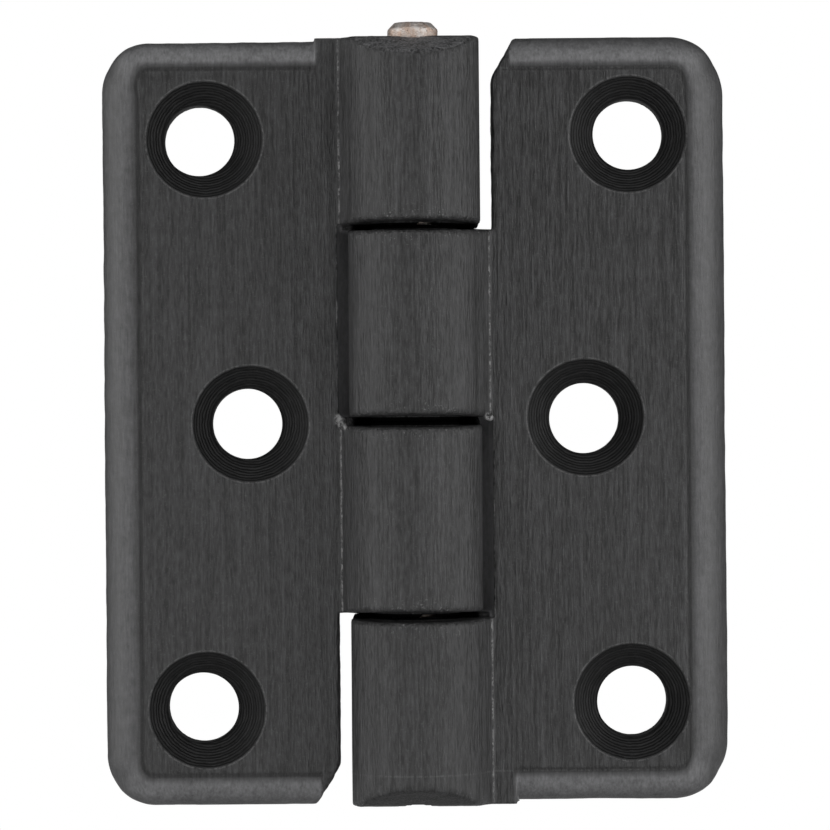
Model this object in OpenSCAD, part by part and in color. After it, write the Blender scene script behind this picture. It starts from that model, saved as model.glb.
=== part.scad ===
// Plastic butt hinge, lying open. Both leaves are the same moulding, one turned half a turn.
// The pin runs along Z, the countersunk front faces -Y, and the origin is on the pin at mid-height.
// Parts are drawn lying flat: x across the hinge, y along the pin, z out of the countersunk front.

/* [Overall] */
// Height of the leaves along the pin
hinge_h = 76; // [63:0.5:92]
// Width across both leaves when the hinge lies open
open_w = 62.1; // [51:0.1:75]

/* [Leaf] */
// Thickness of a leaf's plate
leaf_t = 6.2; // [5:0.1:7.5]
// Gap left between the two plates when the hinge is shut
shut_gap = 0.9; // [0.6:0.1:2]
// How far the barrel stays inside the plane of the leaves' backs
back_relief = 0.1; // [0.05:0.05:0.4]
// Radius of a leaf's outer corners
corner_r = 5.6; // [4:0.2:8]
// Width of the rounded rim round a leaf's three outer sides
rim_w = 3.5; // [2.6:0.1:3.9]
// Depth that the rim falls to at the leaf's edge
rim_drop = 2.5; // [1.5:0.1:3]
// Slope of the rounded rim where it leaves the flat face, in degrees
rim_lead = 12; // [10:1:20]
// How far the rim's edge lies inside the end of the leaf's own outer knuckle
rim_inset = 0.3; // [0.1:0.1:1.5]
// Width of the plain strip that runs along the knuckles
strip_w = 2.4; // [1.6:0.1:3.5]
// Size across the leaf of the corner cut off at the free end
free_cut_w = 2.4; // [1:0.1:4]
// Size along the leaf of the corner cut off at the free end
free_cut_h = 4; // [2:0.1:6]

/* [Knuckles] */
// Gap between an outer and an inner knuckle, at the back where it is narrowest
pair_gap = 0.1; // [0.1:0.05:1]
// Gap between the two inner knuckles, at the back where it is narrowest
mid_gap = 0.3; // [0.1:0.05:1.5]
// Draft of the knuckle ends that face each other, in degrees; their gaps widen to the front
end_draft = 2.2; // [0:0.1:5]
// Lean of the front of each outer knuckle's outside end, in degrees
outside_lean = 24; // [0:0.5:30]
// Distance in front of the pin's axis at which that lean begins
lean_start = 2.3; // [0:0.1:4]
// Space between a barrel and the edge of the leaf beside it
side_gap = 0.85; // [0.7:0.05:1.5]
// Extra room beside the other leaf's outer knuckle
outer_relief = 0.3; // [0.1:0.05:0.8]
// Reach of a leaf's lip beneath the other leaf's inner knuckle, from the root edge
lip_reach = 1.6; // [0.5:0.1:1.9]

/* [Pin] */
// Diameter of the pin
pin_d = 5; // [4:0.1:6.5]
// Radial clearance of the pin in the knuckles
pin_clear = 0.06; // [0.02:0.01:0.1]
// Height of the pin above the top knuckle
pin_stand = 1.4; // [0.5:0.1:3]
// Depth of the pin's foot inside the bottom knuckle
pin_recess = 1; // [0.5:0.1:4]
// Width of the bevel on the pin's ends
pin_bevel_w = 0.8; // [0.2:0.1:1.2]
// Height of the bevel on the pin's ends
pin_bevel_h = 0.7; // [0.2:0.1:1.5]
// Number of ribs that grip the frame leaf's top knuckle
grip_ribs = 12; // [6:1:20]
// Length of the gripping ribs
grip_len = 6; // [3:0.5:10]
// Width of each gripping rib
grip_w = 0.4; // [0.2:0.1:0.8]
// Depth that each rib bites into the knuckle's bore
grip_bite = 0.05; // [0.02:0.01:0.1]

/* [Screw holes] */
// Diameter of a screw hole
hole_d = 7; // [4.5:0.1:8.2]
// Diameter of the countersink at the front face
sink_d = 11.6; // [9.5:0.1:14]
// Angle of the countersink, in degrees
sink_angle = 90; // [82:1:100]
// Flat left between an outer countersink and the rim at the leaf's side
side_land = 0.4; // [0.3:0.05:2]
// Flat left between an outer countersink and the rim at the leaf's end
end_land = 0.35; // [0.3:0.05:2]
// Flat left between the middle countersink and the root edge
root_land = 3.6; // [1:0.05:5]

/* [Hidden] */
$fn = 96;
over = 1;                   // how far cutters run past what they cut
wall_bite = 0.2;            // how far a knuckle's wall runs into the barrel, to meet it at an angle
cove_ease = 0.25;           // how far the hollow round the other leaf's knuckle clears the root edge

// A worked-out place, kept to a hundredth so that pieces meet face to face exactly
function snap(x) = round(x * 100) / 100;

half_h = hinge_h / 2;
half_w = open_w / 2;
face_z = -shut_gap / 2;     // front face of a plate; the pin axis is at zero
back_z = face_z - leaf_t;
barrel_r = -back_z - back_relief;
bore_r = pin_d / 2 + pin_clear;

// The root edge is where a plate's face meets its knuckles, root_r from the pin axis
root_x = snap(sqrt(pow(barrel_r + side_gap, 2) - face_z * face_z));
root_r = norm([root_x, face_z]);
strip_x = root_x + strip_w;

// Low and high end of each of a leaf's two knuckles, at the pin's axis. Each drafted end stands
// back there from where it reaches at the back.
end_back = snap(-back_z * tan(end_draft));
knuckle_l = snap((hinge_h - 2 * pair_gap - mid_gap - 6 * end_back) / 4);
outer_knuckle = [-half_h, -half_h + knuckle_l];
inner_knuckle = [mid_gap / 2 + end_back, mid_gap / 2 + end_back + knuckle_l];

// Centres of the two rounded corners
corner_x = half_w - corner_r;
corner_top = half_h - corner_r;
corner_low = -half_h + rim_inset + corner_r;

// The screw holes are centred on the plate, which is inset at one end only
plate_mid = rim_inset / 2;
hole_reach = half_h - plate_mid - rim_w - end_land - sink_d / 2;
hole_x = half_w - rim_w - side_land - sink_d / 2;
mid_hole_x = root_x + root_land + sink_d / 2;
screw_holes = [
    [hole_x, plate_mid + hole_reach],
    [mid_hole_x, plate_mid],
    [hole_x, plate_mid - hole_reach],
];
sink_slope = tan(sink_angle / 2);
sink_depth = (sink_d - hole_d) / 2 / sink_slope;

leaf_colour = "#2c2c2e";
pin_colour = "#b8aca4";

// Stands a flat-lying part up, so that the pin runs along Z and the front faces -Y
module stand() {
    rotate([90, 0, 0]) children();
}

// Runs a section, drawn across the pin, along the pin from y0 to y1
module run_along(y0, y1) {
    translate([0, y1, 0]) rotate([90, 0, 0]) linear_extrude(y1 - y0) children();
}

// Block between two corners of a plate, at the plate's full thickness
module block(x0, y0, x1, y1) {
    translate([x0, y0, back_z]) cube([x1 - x0, y1 - y0, leaf_t]);
}

// Section of a plate from a corner's centre out to its edge. The rim's arc starts from the flat face
// at the lead angle and ends at the drop.
module rim_section() {
    crease_x = corner_r - rim_w;
    chord = norm([rim_w, rim_drop]);
    arc_r = chord * chord / 2 / (rim_drop * cos(rim_lead) - rim_w * sin(rim_lead));
    difference() {
        translate([0, back_z]) square([corner_r, leaf_t]);
        translate([crease_x - arc_r * sin(rim_lead), face_z - arc_r * cos(rim_lead)]) difference() {
            square(2 * arc_r);
            circle(arc_r);
        }
    }
}

// Straight length of rim that faces +x
module rim_bar(length) {
    rotate([90, 0, 0]) linear_extrude(length) rim_section();
}

// The plate outside the plain strip: middle, three straight rims and two round corners
module plate() {
    top_x = root_x + outer_relief;
    block(strip_x, corner_low, corner_x, corner_top);
    translate([corner_x, corner_top, 0]) rim_bar(corner_top - corner_low);
    translate([top_x, corner_top, 0]) rotate([0, 0, 90]) rim_bar(corner_x - top_x);
    translate([corner_x, corner_low, 0]) rotate([0, 0, -90]) rim_bar(corner_x - strip_x);
    translate([corner_x, corner_top, 0]) rotate_extrude(angle = 90) rim_section();
    translate([corner_x, corner_low, 0]) rotate([0, 0, -90]) rotate_extrude(angle = 90) rim_section();
}

// Section of the strip with a barrel: round on the free side, flat at the back,
// and on the root side a wall that leaves the barrel all but along its tangent
module knuckle_section() {
    tangent_angle = acos(barrel_r / root_r) + asin(face_z / root_r);
    wall_r = barrel_r - wall_bite;
    circle(barrel_r);
    polygon([
        [0, 0],
        [0, back_z],
        [strip_x, back_z],
        [strip_x, face_z],
        [root_x, face_z],
        wall_r * [cos(tangent_angle), sin(tangent_angle)],
    ]);
}

// Section of the strip beneath the other leaf's inner knuckle, hollowed round the pin
module lip_section() {
    lip_x = root_x - lip_reach;
    difference() {
        translate([lip_x, back_z]) square([strip_x - lip_x, leaf_t]);
        circle(root_r + cove_ease);
    }
}

// Side view of a knuckle, y along the pin and z to the front. The facing ends are drafted right
// through; the outside end of an outer knuckle is square, and leans in at its front.
module knuckle_outline(ends, outside) {
    reach = barrel_r + over;
    draft = reach * tan(end_draft);
    lean = (reach - lean_start) * tan(outside_lean);
    low_end = outside
        ? [[ends[0] + lean, reach], [ends[0], lean_start], [ends[0], -reach]]
        : [[ends[0] + draft, reach], [ends[0] - draft, -reach]];
    polygon(concat(low_end, [[ends[1] + draft, -reach], [ends[1] - draft, reach]]));
}

module knuckle(ends, outside) {
    longest = hinge_h;
    difference() {
        intersection() {
            run_along(ends[0] - over, ends[1] + over) knuckle_section();
            translate([-longest / 2, 0, 0]) rotate([90, 0, 90]) linear_extrude(longest)
                knuckle_outline(ends, outside);
        }
        run_along(ends[0] - over, ends[1] + over) circle(bore_r);
    }
}

module screw_hole() {
    translate([0, 0, back_z - over]) cylinder(h = leaf_t + 2 * over, d = hole_d);
    translate([0, 0, face_z - sink_depth])
        cylinder(h = sink_depth + over, r1 = hole_d / 2, r2 = sink_d / 2 + over * sink_slope);
}

// Corner cut off the plate where the rim runs out beside the other leaf's outer knuckle
module free_corner_cut() {
    edge_x = root_x + outer_relief;
    slope = free_cut_w / free_cut_h;
    translate([0, 0, back_z - over]) linear_extrude(leaf_t + 2 * over)
        polygon([
            [edge_x - over * slope, half_h - free_cut_h - over],
            [edge_x + free_cut_w + over * slope, half_h + over],
            [edge_x - over * slope, half_h + over],
        ]);
}

// One leaf lying flat on the +x side, with its outer knuckle at the low end
module leaf() {
    difference() {
        union() {
            plate();
            block(root_x + outer_relief, inner_knuckle[1], strip_x, corner_top);
            run_along(outer_knuckle[1], inner_knuckle[0]) lip_section();
            knuckle(outer_knuckle, true);
            knuckle(inner_knuckle, false);
        }
        for (p = screw_holes) translate([p[0], p[1], 0]) screw_hole();
        free_corner_cut();
    }
}

module frame_leaf() {
    color(leaf_colour) stand() rotate([0, 0, 180]) leaf();
}

module door_leaf() {
    color(leaf_colour) stand() leaf();
}

// Straight pin with bevelled ends, and ribs that hold it in the frame leaf's top knuckle
module hinge_pin() {
    pin_r = pin_d / 2;
    top = half_h + pin_stand;
    foot = -half_h + pin_recess;
    rib_tip = bore_r + grip_bite;
    rib_mid = half_h - knuckle_l / 2;
    color(pin_colour) {
        rotate_extrude() polygon([
            [0, foot],
            [pin_r - pin_bevel_w, foot],
            [pin_r, foot + pin_bevel_h],
            [pin_r, top - pin_bevel_h],
            [pin_r - pin_bevel_w, top],
            [0, top],
        ]);
        for (i = [0 : grip_ribs - 1])
            rotate([0, 0, i * 360 / grip_ribs]) translate([0, 0, rib_mid - grip_len / 2])
                linear_extrude(grip_len) translate([0, -grip_w / 2]) square([rib_tip, grip_w]);
    }
}

frame_leaf();
door_leaf();
hinge_pin();
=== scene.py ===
import math

import bmesh
import bpy
import numpy as np
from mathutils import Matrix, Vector, noise


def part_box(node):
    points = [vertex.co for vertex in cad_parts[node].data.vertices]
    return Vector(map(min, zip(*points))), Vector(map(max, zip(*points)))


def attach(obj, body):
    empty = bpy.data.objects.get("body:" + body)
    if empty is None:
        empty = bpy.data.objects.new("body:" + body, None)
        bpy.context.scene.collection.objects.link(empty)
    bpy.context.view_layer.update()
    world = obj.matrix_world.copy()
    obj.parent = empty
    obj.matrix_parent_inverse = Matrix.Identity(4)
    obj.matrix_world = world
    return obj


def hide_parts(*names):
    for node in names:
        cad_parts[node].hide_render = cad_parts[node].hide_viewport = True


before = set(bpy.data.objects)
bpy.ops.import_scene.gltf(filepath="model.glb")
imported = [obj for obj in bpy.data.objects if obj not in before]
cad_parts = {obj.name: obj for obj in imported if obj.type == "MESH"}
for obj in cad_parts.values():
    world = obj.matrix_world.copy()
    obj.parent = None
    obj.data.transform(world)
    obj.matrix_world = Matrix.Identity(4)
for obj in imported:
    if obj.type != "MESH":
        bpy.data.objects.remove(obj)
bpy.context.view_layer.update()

MM = 0.001

# Sizes of a leaf, in millimetres. A leaf is described lying on its own side: u runs out from the
# pin, v along the pin away from the leaf's outer knuckle, w out of the countersunk front.
FACE = -0.45                # front face of the plate
BACK = -6.65                # back of the plate
REACH = 31.05               # outer edge
LOW_END, FREE_END = -38.0, 38.0
INSET = 0.3                 # of the plate at the low end
RIM_MID, RIM_DROP = 3.3, 2.5  # usual width of the rolled rim, and its drop at the outer edge
RIM_LEAD = math.radians(12)  # slope at which the rim leaves the flat face
BARREL = 6.55               # radius of the knuckles
BORE = 2.56
PIN_R = 2.5
ROOT = 7.39                 # where the knuckles' walls stand on the plate
RELIEF = 7.69               # inner edge beside the other leaf's outer knuckle
STRIP = 9.79                # outer edge of the plain strip beside the knuckles
COVE = 7.65                 # radius of the hollow round the other leaf's inner knuckle
LIP = 5.79                  # how near the pin the lip below that hollow comes
OUTER_TOP = -19.51          # facing end of the outer knuckle
INNER_LOW, INNER_TOP = 0.41, 18.9  # ends of the inner knuckle
DRAFT = math.tan(math.radians(2.2))
LEAN, LEAN_START = math.tan(math.radians(24)), 2.3  # of the outer knuckle's outside end
CUT_U, CUT_V = 2.4, 4.0     # corner cut off the plate at its free end
HOLE, SINK = 3.5, 5.8       # radii of a screw hole and its countersink
HOLES = ((21.35, 28.35), (16.79, 0.15), (21.35, -28.05))

# Behind the pin and close round it, a knuckle's facing ends come almost up to the other leaf's
CLOSE_OUTER, CLOSE_LOW, CLOSE_TOP = -19.22, 0.02, 19.18
CLOSE_R, CLOSE_SLOPE = 4.5, 0.08
GAPS = ((-19.2, 0.27), (0.0, 0.38), (19.2, 0.27))  # between knuckles: place, half width

PLASTIC_TONE = 0.018
# the third tone is the near-black of painted shade, for the knuckle gaps, countersinks, crease and
# leaning end
BURR_TONE, DUST_TONE, PAINTED_SHADE_TONE = 0.24, 0.18, 0.002


# ---------------------------------------------------------------- camera

camera = bpy.data.objects.new("camera", bpy.data.cameras.new("camera"))
bpy.context.scene.collection.objects.link(camera)
camera.data.sensor_width = 36
camera.data.lens = 210.5
camera.data.clip_start = 0.01
camera.location = (-0.00006, -0.480, 0.0006)
camera.rotation_euler = (math.radians(90), math.radians(0.47), 0)
bpy.context.scene.camera = camera
bpy.context.scene.view_settings.view_transform = "Standard"


# ---------------------------------------------------------------- forms in numpy

def blunt_max(a, b, r):
    """The larger of two distances, with the edge between them rounded over about r."""
    near = np.maximum(r - np.abs(a - b), 0) / r
    return np.maximum(a, b) + near * near * r / 4


def blunt_min(a, b, r):
    return -blunt_max(-a, -b, r)


def smooth_step(a, b, x):
    t = np.clip((x - a) / (b - a), 0, 1)
    return t * t * (3 - 2 * t)


class Wander:
    """A smooth random field, about -1 to 1, whose swells are about size across."""

    def __init__(self, seed, size, waves=7):
        draw = np.random.default_rng(seed)
        turn = draw.normal(size=(waves, 3))
        turn /= np.linalg.norm(turn, axis=1)[:, None]
        self.pull = turn * (2 * math.pi / size) * draw.uniform(0.6, 1.5, (waves, 1))
        self.phase = draw.uniform(0, 2 * math.pi, waves)

    def __call__(self, u, v, w):
        total = 0
        for (a, b, c), phase in zip(self.pull, self.phase):
            total = total + np.sin(a * u + b * v + c * w + phase)
        return total / len(self.phase) * 1.6


class Leaf:
    """One leaf as a distance field: negative inside.

    corner  radius of the rounded corners
    rims    width of the rim at the side, the free end and the low end
    cone    slope of the inner knuckle's low end where it closes up
    peep    how far the ends stand back in front of the pin, so that it glints through
    foot    how much painted shade and how much painted light the leaning end of the outer knuckle gets
    sinks   centres of the countersinks
    tears   scraps of torn flash: place and size
    """

    def __init__(self, seed, corner, rims, cone, peep, foot, sinks, tears):
        self.swell = Wander(seed, 17)
        self.wave = Wander(seed + 1, 5)
        self.grit = Wander(seed + 2, 1.1, 11)
        self.fray = Wander(seed + 3, 0.6, 11)
        self.corner, self.rims = corner, rims
        self.cone, self.peep, self.foot = cone, peep, foot
        self.sinks, self.tears = sinks, tears

    def edge(self, u, v):
        """Distance in plan from the leaf's outer outline, and the width of the rim there."""
        along = u - (REACH - self.corner)
        across = np.maximum(v - FREE_END, LOW_END + INSET - v) + self.corner
        round_corner = np.hypot(np.maximum(along, 0), np.maximum(across, 0))
        side_w, free_w, low_w = self.rims
        end_w = low_w + (free_w - low_w) * smooth_step(-20, 20, v)
        rim_w = end_w + (side_w - end_w) * smooth_step(-2, 2, along - across)
        return round_corner + np.minimum(np.maximum(along, across), 0) - self.corner, rim_w

    def plate(self, u, v, w):
        """The whole plate with its rim, and the front face alone."""
        arc = math.hypot(RIM_MID, RIM_DROP) ** 2 / 2
        arc /= RIM_DROP * math.cos(RIM_LEAD) - RIM_MID * math.sin(RIM_LEAD)
        swell, wave = self.swell(u, v, w), self.wave(u, v, 0 * w)
        edge, rim_w = self.edge(u, v)
        ragged = edge - 0.06 + 0.07 * swell + 0.04 * wave + 0.02 * self.grit(u, v, w)
        out = edge + 0.03 * wave + rim_w + arc * math.sin(RIM_LEAD)
        up = w - FACE + arc * math.cos(RIM_LEAD)
        rim = np.hypot(np.maximum(out, 0), np.maximum(up, 0))
        rim = rim + np.minimum(np.maximum(out, up), 0) - arc
        crease = 0.16 * np.exp(-(((edge + 0.03 * wave + rim_w + 0.15) / 0.25) ** 2))
        face = w - FACE + crease
        for u0, v0 in self.sinks:
            lip = np.hypot(u - u0, v - v0) - SINK - 0.1
            face = face - 0.05 * np.exp(-((lip / 0.2) ** 2)) * (1 + self.grit(u, v, w))
        form = blunt_max(rim, face, 0.12)
        form = blunt_max(form, ragged, 0.5)
        form = blunt_max(form, BACK - w, 0.5)
        return form, face

    def knuckle(self, u, v, w, low, top, behind):
        """A knuckle from low to top, with its wall and the strip of plate beside it."""
        round_part = np.hypot(u, w) - BARREL + 0.02 * self.swell(u, v, w)
        tilt = math.acos(BARREL / math.hypot(ROOT, FACE)) + math.atan2(FACE, ROOT)
        wall = u * math.cos(tilt) + w * math.sin(tilt) - BARREL
        side = w * math.cos(tilt) - u * math.sin(tilt)
        wall = np.maximum(np.maximum(wall, side), np.maximum(-u, BACK - w))
        slab = np.maximum(np.maximum(w - FACE, u - STRIP), np.maximum(-u, BACK - w))
        form = blunt_min(np.minimum(round_part, wall), slab, 0.25)
        grit = 0.03 * self.grit(u, v, w) * (1 - behind)
        blunt = 0.15 + 0.5 * smooth_step(-1, 1, w)
        form = blunt_max(form, low - v + grit, blunt)
        form = blunt_max(form, v - top + grit, blunt)
        form = blunt_max(form, BACK - w, 0.4)
        return form

    def __call__(self, u, v, w):
        form, face = self.plate(u, v, w)
        ragged = 0.05 * self.wave(u, v, w) + 0.03 * self.grit(u, v, w)
        form = blunt_max(form, RELIEF - u + ragged + 0.05, 0.35)
        cut = (v - FREE_END) * CUT_U - (u - RELIEF - CUT_U) * CUT_V
        form = blunt_max(form, cut / math.hypot(CUT_U, CUT_V) + 2 * ragged, 0.3)

        # lip beneath the other leaf's inner knuckle
        lip = blunt_max(LIP - u + ragged, COVE - np.hypot(u, w) + 0.6 * ragged, 0.3)
        lip = np.maximum(np.maximum(lip, face), np.maximum(BACK - w, u - STRIP))
        lip = np.maximum(lip, np.maximum(v - INNER_LOW - 0.3, OUTER_TOP - 0.3 - v))
        form = np.minimum(form, lip)

        # knuckles; where they close up, their ends follow a shallow cone
        far = np.hypot(u, w)
        behind = np.maximum(smooth_step(-1.2, -1.9, w), smooth_step(CLOSE_R, 4.0, far))
        slope = CLOSE_SLOPE * (far - CLOSE_R)
        peep = smooth_step(-2.1, -1.7, u) * smooth_step(-0.2, -0.5, u) * smooth_step(0.3, 0.9, w)
        peep = self.peep * peep
        low = LOW_END + blunt_max(w - LEAN_START, 0 * w, 1.0) * LEAN
        top = OUTER_TOP - DRAFT * w
        top = top + behind * (CLOSE_OUTER - peep + slope - top)
        form = blunt_min(form, self.knuckle(u, v, w, low, top, behind), 0.12)
        low = INNER_LOW + DRAFT * w
        low = low + behind * (CLOSE_LOW + self.cone * (far - 4) - low)
        top = INNER_TOP - DRAFT * w
        top = top + behind * (CLOSE_TOP - peep - slope - top)
        form = blunt_min(form, self.knuckle(u, v, w, low, top, behind), 0.12)
        form = np.maximum(form, BORE - far)

        for (u0, v0), (us, vs) in zip(HOLES, self.sinks):
            form = np.maximum(form, HOLE - np.hypot(u - u0, v - v0))
            sink = (SINK - np.hypot(u - us, v - vs) + (w - FACE)) / math.sqrt(2)
            form = blunt_max(form, sink + 0.01 * self.grit(u, v, w), 0.15)
        for u0, v0, w0, size in self.tears:
            scrap = np.sqrt((u - u0) ** 2 + (v - v0) ** 2 + (w - w0) ** 2) - size
            scrap = scrap + 0.55 * size * self.fray(u, v, w)
            form = np.minimum(form, np.maximum(scrap, w + FACE + 0.05))
        bounds = np.maximum(w - BARREL, LOW_END - v)
        bounds = np.maximum(bounds, np.maximum(v - FREE_END, u - REACH))
        return np.maximum(form, bounds + 0.01)


def skin(form, low, high, step):
    """A closed skin of quads on a distance field: one point in each crossed cell, moved onto it.

    The field is worked out on every other grid point, then in full near the surface only.
    """
    axes = [np.arange(a, b + s, s, dtype=np.float32) for a, b, s in zip(low, high, step)]
    counts = [len(axis) for axis in axes]
    coarse = form(*np.meshgrid(*[axis[::2] for axis in axes], indexing="ij"))
    d = coarse[np.ix_(*[np.arange(n) // 2 for n in counts])]
    near = np.nonzero(np.abs(d) < 2.4 * max(step))
    d[near] = form(*[axis[k] for axis, k in zip(axes, near)])
    cells = np.array(counts) - 1
    spots, ids, quads = [], [], []
    for axis in range(3):
        others = [(axis + 1) % 3, (axis + 2) % 3]
        first = np.take(d, range(cells[axis]), axis)
        second = np.take(d, range(1, cells[axis] + 1), axis)
        where = np.argwhere((first < 0) != (second < 0))
        a, b = first[tuple(where.T)], second[tuple(where.T)]
        spot = np.stack([axes[k][where[:, k]] for k in range(3)], 1)
        spot[:, axis] += step[axis] * a / (a - b)
        ring = []
        for back in ((0, 0), (1, 0), (1, 1), (0, 1)):
            cell = where.copy()
            cell[:, others[0]] -= back[0]
            cell[:, others[1]] -= back[1]
            ring.append(np.ravel_multi_index(cell.T, cells))
        ring = np.stack(ring, 1)
        ids.append(ring.ravel())
        spots.append(np.repeat(spot, 4, 0))
        quads.append(np.where((a < 0)[:, None], ring, ring[:, ::-1]))
    ids, spots, quads = np.concatenate(ids), np.concatenate(spots), np.concatenate(quads)
    used, place = np.unique(ids, return_inverse=True)
    share = np.bincount(place)
    points = np.stack([np.bincount(place, spots[:, k]) / share for k in range(3)], 1)
    reach = 0.02
    for _ in range(3):
        at = form(*points.T)
        slope = np.empty_like(points)
        for k in range(3):
            nudge = np.zeros(3)
            nudge[k] = reach
            ahead, back = form(*(points + nudge).T), form(*(points - nudge).T)
            slope[:, k] = (ahead - back) / (2 * reach)
        size = np.maximum((slope**2).sum(1), 0.2)
        points -= np.clip(at / size, -0.15, 0.15)[:, None] * slope
    return points, np.searchsorted(used, quads)


def mesh_piece(name, points, faces, body, node, finish):
    mesh = bpy.data.meshes.new(name)
    mesh.vertices.add(len(points))
    mesh.vertices.foreach_set("co", np.ascontiguousarray(points, np.float32).ravel())
    mesh.loops.add(faces.size)
    mesh.loops.foreach_set("vertex_index", faces.ravel().astype(np.int32))
    mesh.polygons.add(len(faces))
    mesh.polygons.foreach_set("loop_start", np.arange(0, faces.size, 4, dtype=np.int32))
    mesh.update(calc_edges=True)
    mesh.shade_smooth()
    mesh.materials.append(finish)
    piece = bpy.data.objects.new(name, mesh)
    bpy.context.scene.collection.objects.link(piece)
    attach(piece, body)
    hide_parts(node)


# ---------------------------------------------------------------- finishes

class Value:
    """An output of a finish's nodes. Arithmetic on it adds Math nodes."""

    def __init__(self, finish, socket):
        self.finish, self.socket = finish, socket

    def maths(self, operation, *parts):
        return self.finish.node("ShaderNodeMath", {"operation": operation}, *parts)

    def __add__(self, other):
        return self.maths("ADD", self, other)

    def __sub__(self, other):
        return self.maths("SUBTRACT", self, other)

    def __rsub__(self, other):
        return self.maths("SUBTRACT", other, self)

    def __mul__(self, other):
        return self.maths("MULTIPLY", self, other)

    __radd__ = __add__
    __rmul__ = __mul__

    def over(self, other):
        return self.maths("MAXIMUM", self, other)

    def under(self, other):
        return self.maths("MINIMUM", self, other)

    def size(self):
        return self.maths("ABSOLUTE", self)

    def root(self):
        return self.maths("SQRT", self)

    def wave(self):
        return self.maths("SINE", self)

    def ramp(self, start, end, low=0.0, high=1.0):
        """Goes smoothly from low at start to high at end."""
        settings = {"interpolation_type": "SMOOTHSTEP"}
        return self.finish.node("ShaderNodeMapRange", settings, self, start, end, low, high)


class Finish:
    """A material, or the world, built from nodes."""

    def __init__(self, owner):
        owner.use_nodes = True
        self.owner, self.tree = owner, owner.node_tree
        self.tree.nodes.clear()

    def node(self, kind, settings, *parts, out=0, **named):
        """Adds a node: its settings first, then the values or links of its sockets."""
        made = self.tree.nodes.new(kind)
        for name, value in settings.items():
            setattr(made, name, value)
        for key, value in enumerate(parts):
            self.feed(made.inputs[key], value)
        for key, value in named.items():
            self.feed(made.inputs[key.replace("_", " ")], value)
        return Value(self, made.outputs[out]) if made.outputs else made

    def feed(self, socket, value):
        if isinstance(value, Value):
            self.tree.links.new(value.socket, socket)
        else:
            socket.default_value = value

    def vector(self, operation, *parts):
        return self.node("ShaderNodeVectorMath", {"operation": operation}, *parts)

    def mix(self, share, first, second):
        """Mixes two colours, whose sockets come after those for numbers and vectors."""
        made = self.tree.nodes.new("ShaderNodeMix")
        made.data_type = "RGBA"
        for key, value in ((0, share), (6, first), (7, second)):
            self.feed(made.inputs[key], value)
        return Value(self, made.outputs[2])

    def grain(self, where, scale, detail=2.0, roughness=0.5):
        """Noise from 0 to 1; scale is a number, or three for a stretched grain."""
        if not isinstance(scale, (int, float)):
            where, scale = self.vector("MULTIPLY", where, scale), 1.0
        return self.node(
            "ShaderNodeTexNoise", {"noise_dimensions": "3D"}, Vector=where, Scale=scale,
            Detail=detail, Roughness=roughness,
        )


def grey(level):
    return (level, level, level, 1)


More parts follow.
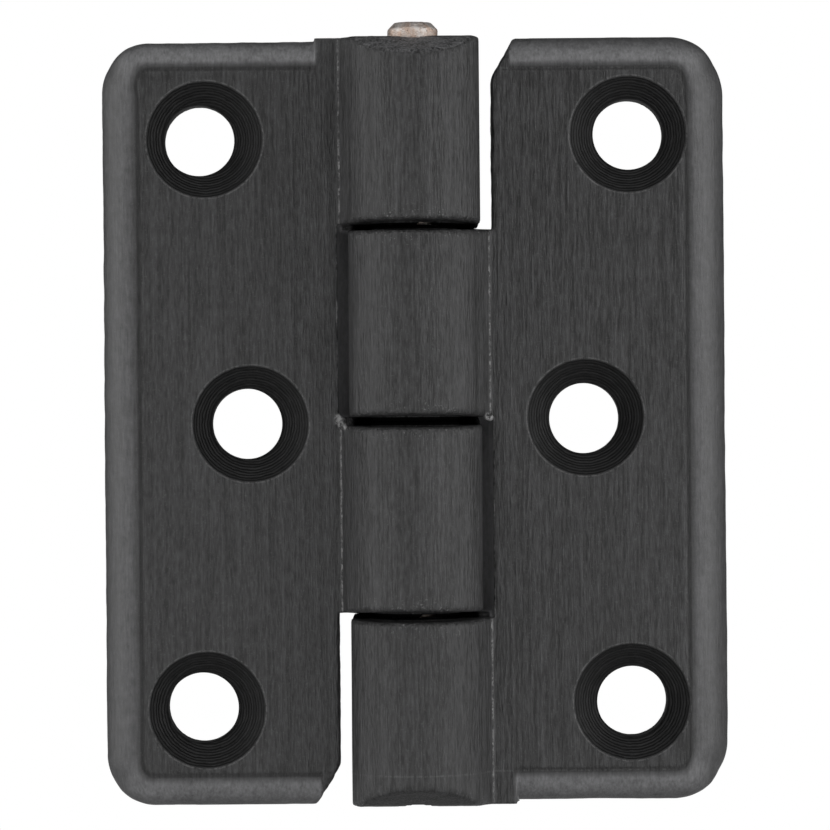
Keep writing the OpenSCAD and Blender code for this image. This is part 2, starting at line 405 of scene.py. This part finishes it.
def leaf_finish(name, side, form, shift):
    """Black moulded plastic, scratched along the pin wherever a face was machined."""
    f = Finish(bpy.data.materials.new(name))
    place = f.node("ShaderNodeTexCoord", {}, out="Object")
    spot = f.vector("MULTIPLY", place, (side / MM, -1 / MM, side / MM))
    parts = f.node("ShaderNodeSeparateXYZ", {}, spot)
    node = parts.socket.node
    u, w, v = (Value(f, node.outputs[k]) for k in range(3))
    where = f.vector("ADD", spot, shift)

    along = u - (REACH - form.corner)
    across = (v - FREE_END).over(LOW_END + INSET - v) + form.corner
    out_u, out_v = along.over(0), across.over(0)
    edge = (out_u * out_u + out_v * out_v).root() + along.over(across).under(0) - form.corner
    side_w, free_w, low_w = form.rims
    end_w = v.ramp(-20, 20, low_w, free_w)
    # inward is the distance outside the fold where rim and plate meet
    inward = edge + end_w + (side_w - end_w) * (along - across).ramp(-2, 2)
    front = w.ramp(-3.8, -3.0)
    beside = u.ramp(STRIP - 0.4, STRIP)
    rim = inward.ramp(-0.1, 0.1) * beside * w.ramp(BACK + 0.1, BACK + 0.5)
    at_end = (across - along).ramp(-2, 2)
    # painted highlight along the rolled rim, strongest at the ends
    painted_rim_highlight = inward.ramp(0.1, 0.8) * inward.ramp(3.2, 1.2) * rim * front * (1.2 + 3.0 * at_end)
    # painted shade along the crease where rim and plate meet, darkening the colour and mixing
    # toward near-black
    fold = (inward + 0.15).size().ramp(0.35, 0.1) * beside * front
    plate = (w - FACE).size().ramp(0.25, 0.1) * (1 - rim)

    ring = None
    for us, vs in form.sinks:
        out = ((u - us) * (u - us) + (v - vs) * (v - vs)).root()
        ring = out if ring is None else ring.under(out)
    # countersinks: their colour is darkened and mixed toward near-black as painted shade; the
    # turned rings in them are real
    sunk = ring.ramp(SINK + 0.02, SINK - 0.12) * w.ramp(FACE + 0.3, FACE - 0.02) * front

    far = (u * u + w * w).root()
    # painted shade: the gaps between the knuckles, out to near the barrel, are turned near-black
    gap = None
    for place_v, half in GAPS:
        inside = (v - place_v).size().ramp(half + 0.06, half - 0.02)
        gap = inside if gap is None else gap.over(inside)
    gap = gap * far.ramp(BARREL - 0.1, BARREL - 0.5)

    fine = f.grain(where, (3.4, 3.4, 0.14), 3.0, 0.6)
    short = f.grain(where, (4.5, 4.5, 0.8), 2.0, 0.6)
    broad = f.grain(where, (1.0, 1.0, 0.04), 3.0, 0.55)
    cloud = f.grain(where, 0.16, 3.0, 0.55)
    speck = f.grain(where, 5.0, 2.0, 0.6)
    mottle = f.grain(where, 1.1, 4.0, 0.65)
    streak = (fine - 0.5) * 0.65 + (broad - 0.5) * 0.3 + (short - 0.5) * 0.8

    # stretches of the leaf along the pin
    outer_row = v.ramp(OUTER_TOP + 0.1, OUTER_TOP - 0.1)
    cove_row = v.ramp(OUTER_TOP - 0.1, OUTER_TOP + 0.1) * v.ramp(INNER_LOW + 0.1, INNER_LOW - 0.1)
    inner_row = v.ramp(INNER_LOW - 0.1, INNER_LOW + 0.1) * v.ramp(INNER_TOP + 0.1, INNER_TOP - 0.1)
    free_row = v.ramp(INNER_TOP - 0.1, INNER_TOP + 0.1)

    # face of the hollow, seen beside the other leaf's knuckle; its colour is painted far paler as
    # painted light in that shaded hollow, and its streaks are damped
    slot = cove_row * far.ramp(COVE - 0.4, COVE - 0.2) * far.ramp(COVE + 0.6, COVE + 0.4)
    slot = slot * w.ramp(FACE - 0.1, FACE - 0.3)
    brushed = (1 - 0.75 * rim) * (1 - 0.9 * slot)

    # pale burr where an edge was cut or the mould parted
    fray = f.grain(where, 2.2, 3.0, 0.7)
    wobble = (fray - 0.5) * 0.5
    stroke = f.grain(where, (0.3, 0.3, 0.7), 2.0, 0.6).ramp(0.36, 0.6)

    def line(u0, w0, width):
        """A ragged line along the pin."""
        du, dw = u - u0 + wobble, w - w0
        return (du * du + dw * dw).root().ramp(width, width * 0.35)

    burr = cove_row * line(COVE, FACE, 0.2) * 0.8
    burr = burr.over(free_row * line(RELIEF + 0.05, FACE, 0.18) * 0.35)
    burr = burr.over((outer_row + inner_row).under(1) * line(ROOT + 0.05, FACE + 0.1, 0.15) * 0.7)
    burr = burr * (0.35 + 0.65 * stroke)
    burr = burr.over((ring - SINK - 0.07 + 0.3 * wobble).size().ramp(0.11, 0.03) * 0.22 * plate)
    crease = (inward + 0.1 + 0.3 * wobble).size().ramp(0.14, 0.03) * along.over(across).ramp(2, 4)
    burr = burr.over(crease * 0.35 * front)
    burr = burr * fray.ramp(0.38, 0.62)
    for u0, v0, w0, size in form.tears:
        du, dv, dw = u - u0, v - v0, w - w0
        scrap = (du * du + dv * dv + dw * dw).root().ramp(size * 1.6, size * 0.8)
        burr = burr.over(scrap * fray.ramp(0.42, 0.56))

    # speckle, thickest near the knuckles' ends
    ends = None
    for end in (LOW_END, OUTER_TOP, INNER_LOW, INNER_TOP):
        near = (v - end).size().ramp(2.2, 0.2)
        ends = near if ends is None else ends.over(near)
    ends = ends * u.ramp(ROOT, ROOT - 1)
    dust = speck.ramp(0.60, 0.68) * (0.16 + 0.9 * ends * mottle.ramp(0.4, 0.6)) * (1 - 0.4 * sunk)

    # leaning end of the outer knuckle, given painted shade (foot_shade) or painted light
    # (foot_glow)
    foot = v.ramp(LOW_END + 2.4, LOW_END + 2.0) * w.ramp(LEAN_START, LEAN_START + 0.6)
    foot = foot * (v - LOW_END - (w - LEAN_START) * LEAN).ramp(0.25, 0.05)
    foot_shade, foot_glow = form.foot

    tone = 1 + 5.2 * streak * brushed + 1.2 * (mottle - 0.5) + 0.6 * (cloud - 0.5)
    tone = PLASTIC_TONE * tone.over(0.1)
    # the rim highlight and the lift on the hollow's face are painted light; the countersink and
    # crease factors are painted shade
    tone = tone * (1 + 0.8 * rim + painted_rim_highlight + 9.0 * slot) * (1 - 0.8 * sunk) * (1 - 0.4 * fold)
    rings = (ring * 9.0 + 7.0 * (mottle - 0.5)).wave() * 0.3
    rings = (rings + (ring * 24.0 + 6.0 * mottle).wave() * 0.4) * sunk
    tone = tone * (1 + foot_glow * foot) + rings.over(0) * fray * 0.05
    base = f.node("ShaderNodeCombineColor", {}, tone, tone, tone * 1.03)
    base = f.mix(burr, base, grey(BURR_TONE))
    base = f.mix(dust * 0.6, base, grey(DUST_TONE))

    height = streak * brushed * (1 - sunk) * 0.16 + (mottle - 0.5) * 0.05 + rings * 0.05
    height = height + burr * 0.05 + (speck - 0.5) * 0.02
    rough = 0.56 + 0.2 * streak * brushed + 0.10 * (cloud - 0.5) - 0.04 * rim + 0.2 * burr
    bump = f.node("ShaderNodeBump", {}, Strength=1.0, Distance=MM, Height=height)
    shader = f.node(
        "ShaderNodeBsdfPrincipled", {}, Base_Color=base, Roughness=rough, Normal=bump,
    )
    # near-black shader that paints shade into the knuckle gaps, countersinks, the crease and the
    # door's leaning end
    painted_shade_bsdf = f.node("ShaderNodeBsdfDiffuse", {}, Color=grey(PAINTED_SHADE_TONE))
    shade = gap.over(sunk * (0.45 + 0.5 * (mottle - 0.5)))
    shade = shade.over(fold * 0.15).over(foot * foot_shade)
    both = f.node("ShaderNodeMixShader", {}, shade, shader, painted_shade_bsdf)
    f.node("ShaderNodeOutputMaterial", {}, Surface=both)
    return f.owner


def pin_finish():
    """Plain steel with a rough, slightly coppery skin."""
    f = Finish(bpy.data.materials.new("pin_steel"))
    place = f.node("ShaderNodeTexCoord", {}, out="Object")
    where = f.vector("MULTIPLY", place, (1 / MM, 1 / MM, 1 / MM))
    pits = f.grain(where, 3.2, 4.0, 0.7)
    stain = f.grain(where, 0.9, 3.0, 0.6)
    steel = f.mix(stain.ramp(0.4, 0.65), (0.62, 0.58, 0.55, 1), (0.52, 0.40, 0.33, 1))
    steel = f.mix(pits.ramp(0.42, 0.28), steel, (0.10, 0.08, 0.07, 1))
    rough = 0.34 + 0.3 * pits
    bump = f.node("ShaderNodeBump", {}, Strength=1.0, Distance=MM, Height=pits * 0.12)
    shader = f.node(
        "ShaderNodeBsdfPrincipled", {}, Base_Color=steel, Metallic=1.0, Roughness=rough,
        Normal=bump,
    )
    f.node("ShaderNodeOutputMaterial", {}, Surface=shader)
    return f.owner


# ---------------------------------------------------------------- leaves

def make_leaf(name, node, body, side, shift, offsets, **shape):
    """Builds a leaf; side is 1 to the right of the pin, -1 for the same moulding turned round."""
    sinks = [(u0 + du, v0 + dv) for (u0, v0), (du, dv) in zip(HOLES, offsets)]
    form = Leaf(sinks=sinks, **shape)
    step = ((0.25, 0.28, 0.25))
    points, quads = skin(form, (-6.9, -38.7, -7.0), (31.3, 38.7, 6.9), step)
    u, v, w = points.T
    placed = np.stack([side * u, -w, side * v], 1) * MM
    finish = leaf_finish(name + "_plastic", side, form, shift)
    mesh_piece(name, placed, quads, body, node, finish)


make_leaf(
    "frame_leaf_moulding", "frame_leaf", "frame", side=-1, shift=(0, 0, 0),
    offsets=((-0.5, 0.1), (-0.45, 0), (-0.65, 0)),
    seed=11, corner=4.9, rims=(3.6, 2.9, 2.5), cone=-0.15, peep=0.28, foot=(0.0, 2.5),
    tears=((7.4, -0.2, -0.3, 0.5), (7.2, 0.4, 0.1, 0.45)),
)
make_leaf(
    "door_leaf_moulding", "door_leaf", "door", side=1, shift=(71, 33, 57),
    offsets=((-0.1, -0.1), (0.05, 0.1), (-0.12, 0.1)),
    seed=41, corner=5.8, rims=(3.9, 3.0, 2.9), cone=0.15, peep=0.0, foot=(0.3, 0.0),
    tears=((7.3, 0.3, 0.2, 0.4), (9.6, -37.7, -1.6, 0.4)),
)


# ---------------------------------------------------------------- pin

def make_pin():
    """A turned pin: straight shank, bevelled ends with their edges knocked round."""
    _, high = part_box("hinge_pin")
    top = high.z / MM
    profile = [
        (0, -37), (1.5, -37), (1.8, -36.93), (2.42, -36.35), (2.5, -36.1), (2.5, top - 0.86),
        (2.46, top - 0.68), (2.36, top - 0.55), (1.92, top - 0.12), (1.8, top - 0.04), (1.62, top),
        (0, top),
    ]
    rows = []
    for (r0, z0), (r1, z1) in zip(profile, profile[1:]):
        count = max(1, int(math.hypot(r1 - r0, z1 - z0) / 0.35))
        rows += [(r0 + (r1 - r0) * k / count, z0 + (z1 - z0) * k / count) for k in range(count)]
    around = 72
    mesh = bmesh.new()
    rings = []
    for r, z in rows[1:]:
        ring = []
        for k in range(around):
            turn = 2 * math.pi * k / around
            spot = Vector((r * math.cos(turn), r * math.sin(turn), z))
            dent = 0.04 * noise.noise(spot * 1.3) + 0.03 * noise.noise(spot * 3.1) - 0.03
            spot.xy *= 1 + dent / PIN_R
            spot.z = min(spot.z + dent, top)
            ring.append(mesh.verts.new(spot * MM))
        rings.append(ring)
    for a, b in zip(rings, rings[1:]):
        for k in range(around):
            mesh.faces.new((a[k], a[(k + 1) % around], b[(k + 1) % around], b[k]))
    for ring, z in ((rings[0][::-1], -37), (rings[-1], top)):
        centre = mesh.verts.new((0, 0, z * MM))
        for k in range(around):
            mesh.faces.new((ring[k], ring[(k + 1) % around], centre))
    data = bpy.data.meshes.new("pin_turned")
    mesh.to_mesh(data)
    mesh.free()
    data.shade_smooth()
    data.materials.append(pin_finish())
    piece = bpy.data.objects.new("pin_turned", data)
    bpy.context.scene.collection.objects.link(piece)
    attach(piece, "frame")
    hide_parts("hinge_pin")


make_pin()


# ---------------------------------------------------------------- floor, light

def make_floor():
    mesh = bmesh.new()
    bmesh.ops.create_circle(mesh, cap_ends=True, radius=0.45, segments=96)
    data = bpy.data.meshes.new("floor")
    mesh.to_mesh(data)
    mesh.free()
    f = Finish(bpy.data.materials.new("floor_paper"))
    place = f.node("ShaderNodeTexCoord", {}, out="Object")
    tone = f.grain(place, 300.0, 3.0) * 0.02 + 0.86
    base = f.node("ShaderNodeCombineColor", {}, tone, tone, tone)
    shader = f.node("ShaderNodeBsdfPrincipled", {}, Base_Color=base, Roughness=0.9)
    f.node("ShaderNodeOutputMaterial", {}, Surface=shader)
    data.materials.append(f.owner)
    floor = bpy.data.objects.new("floor", data)
    floor.location = (0, 0, -0.12)
    bpy.context.scene.collection.objects.link(floor)


def make_light(name, place, size, power):
    """A soft lamp aimed at the hinge."""
    data = bpy.data.lights.new(name, "AREA")
    data.shape, data.size, data.size_y, data.energy = "RECTANGLE", size[0], size[1], power
    lamp = bpy.data.objects.new(name, data)
    lamp.location = place
    lamp.rotation_euler = (Vector(place) * -1).to_track_quat("-Z", "Y").to_euler()
    bpy.context.scene.collection.objects.link(lamp)


make_floor()
make_light("left_softbox", (-0.6, -0.07, 0.05), (0.5, 0.7), 3.0)
make_light("right_softbox", (0.6, -0.17, 0.05), (0.5, 0.7), 3.3)
make_light("top_softbox", (0.0, -0.38, 0.5), (0.7, 0.35), 1.7)
make_light("low_softbox", (0.0, -0.35, -0.09), (0.6, 0.12), 0.6)

world = bpy.data.worlds.new("studio")
bpy.context.scene.world = world
f = Finish(world)
seen = f.node("ShaderNodeLightPath", {}, out="Is Camera Ray")
white = f.node("ShaderNodeBackground", {}, (1, 1, 1, 1), 1.0)
room = f.node("ShaderNodeBackground", {}, (1, 1, 1, 1), 0.09)
both = f.node("ShaderNodeMixShader", {}, seen, room, white)
f.node("ShaderNodeOutputWorld", {}, Surface=both)
